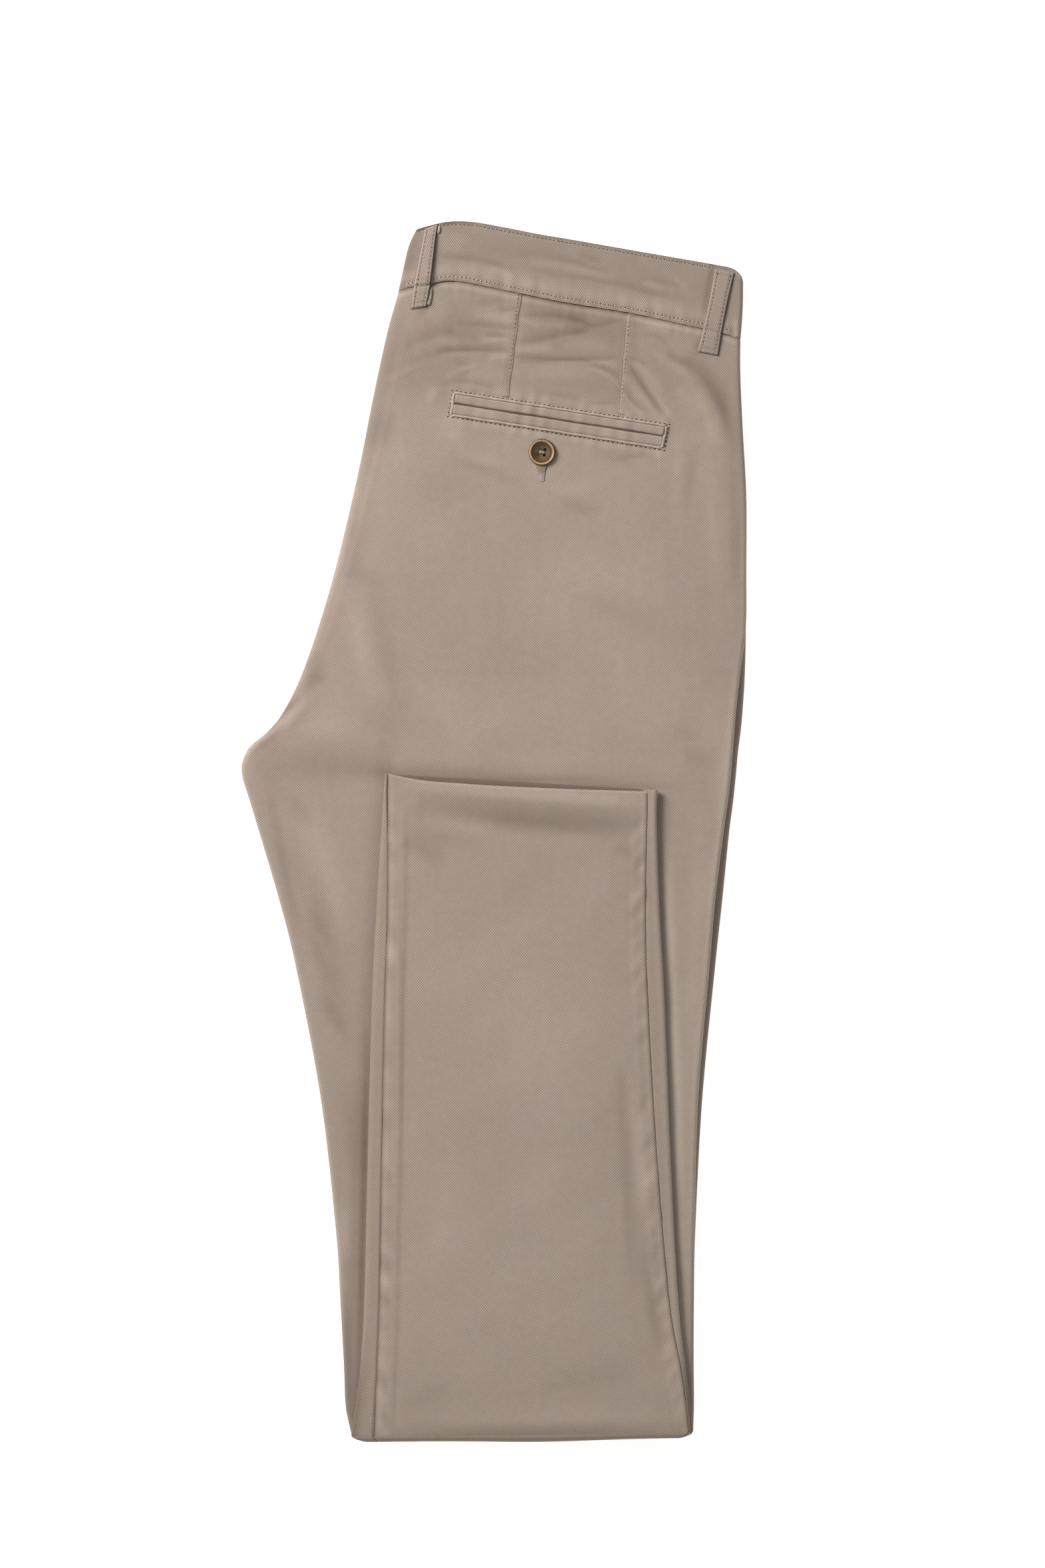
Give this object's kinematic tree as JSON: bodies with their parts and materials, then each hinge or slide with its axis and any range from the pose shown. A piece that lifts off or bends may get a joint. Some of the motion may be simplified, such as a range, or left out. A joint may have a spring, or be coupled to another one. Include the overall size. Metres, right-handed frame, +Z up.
{
  "type": "folded trousers",
  "caption": "Pair of cotton chino trousers folded flat: halved along the seat seam, back pocket side up, with each leg turned up at the knee.",
  "frame": {"origin": "middle of the folded garment's box, at the surface it lies on", "axes": "+Z up off the surface, +Y along the legs from the knee fold to the waist, +X from the seat seam towards the side seam"},
  "size_m": [0.316, 0.7631, 0.0195],
  "materials": {
    "cloth": "matt taupe cotton with a small raised weave",
    "button": "dark horn look, softly polished",
    "thread": "pale tan sewing thread"
  },
  "bodies": {
    "root": {"right_back": "cloth", "right_front": "cloth", "left_back": "cloth", "hidden_layers": "cloth", "waistband_right": "cloth", "waistband_left": "cloth", "belt_loop_back_right": "cloth", "belt_loop_side_right": "cloth", "belt_loop_back_left": "cloth", "belt_loop_side_left": "cloth", "pocket_welt_upper": "cloth", "pocket_welt_lower": "cloth", "button": "button", "button_thread": "thread"}
  },
  "joints": []
}
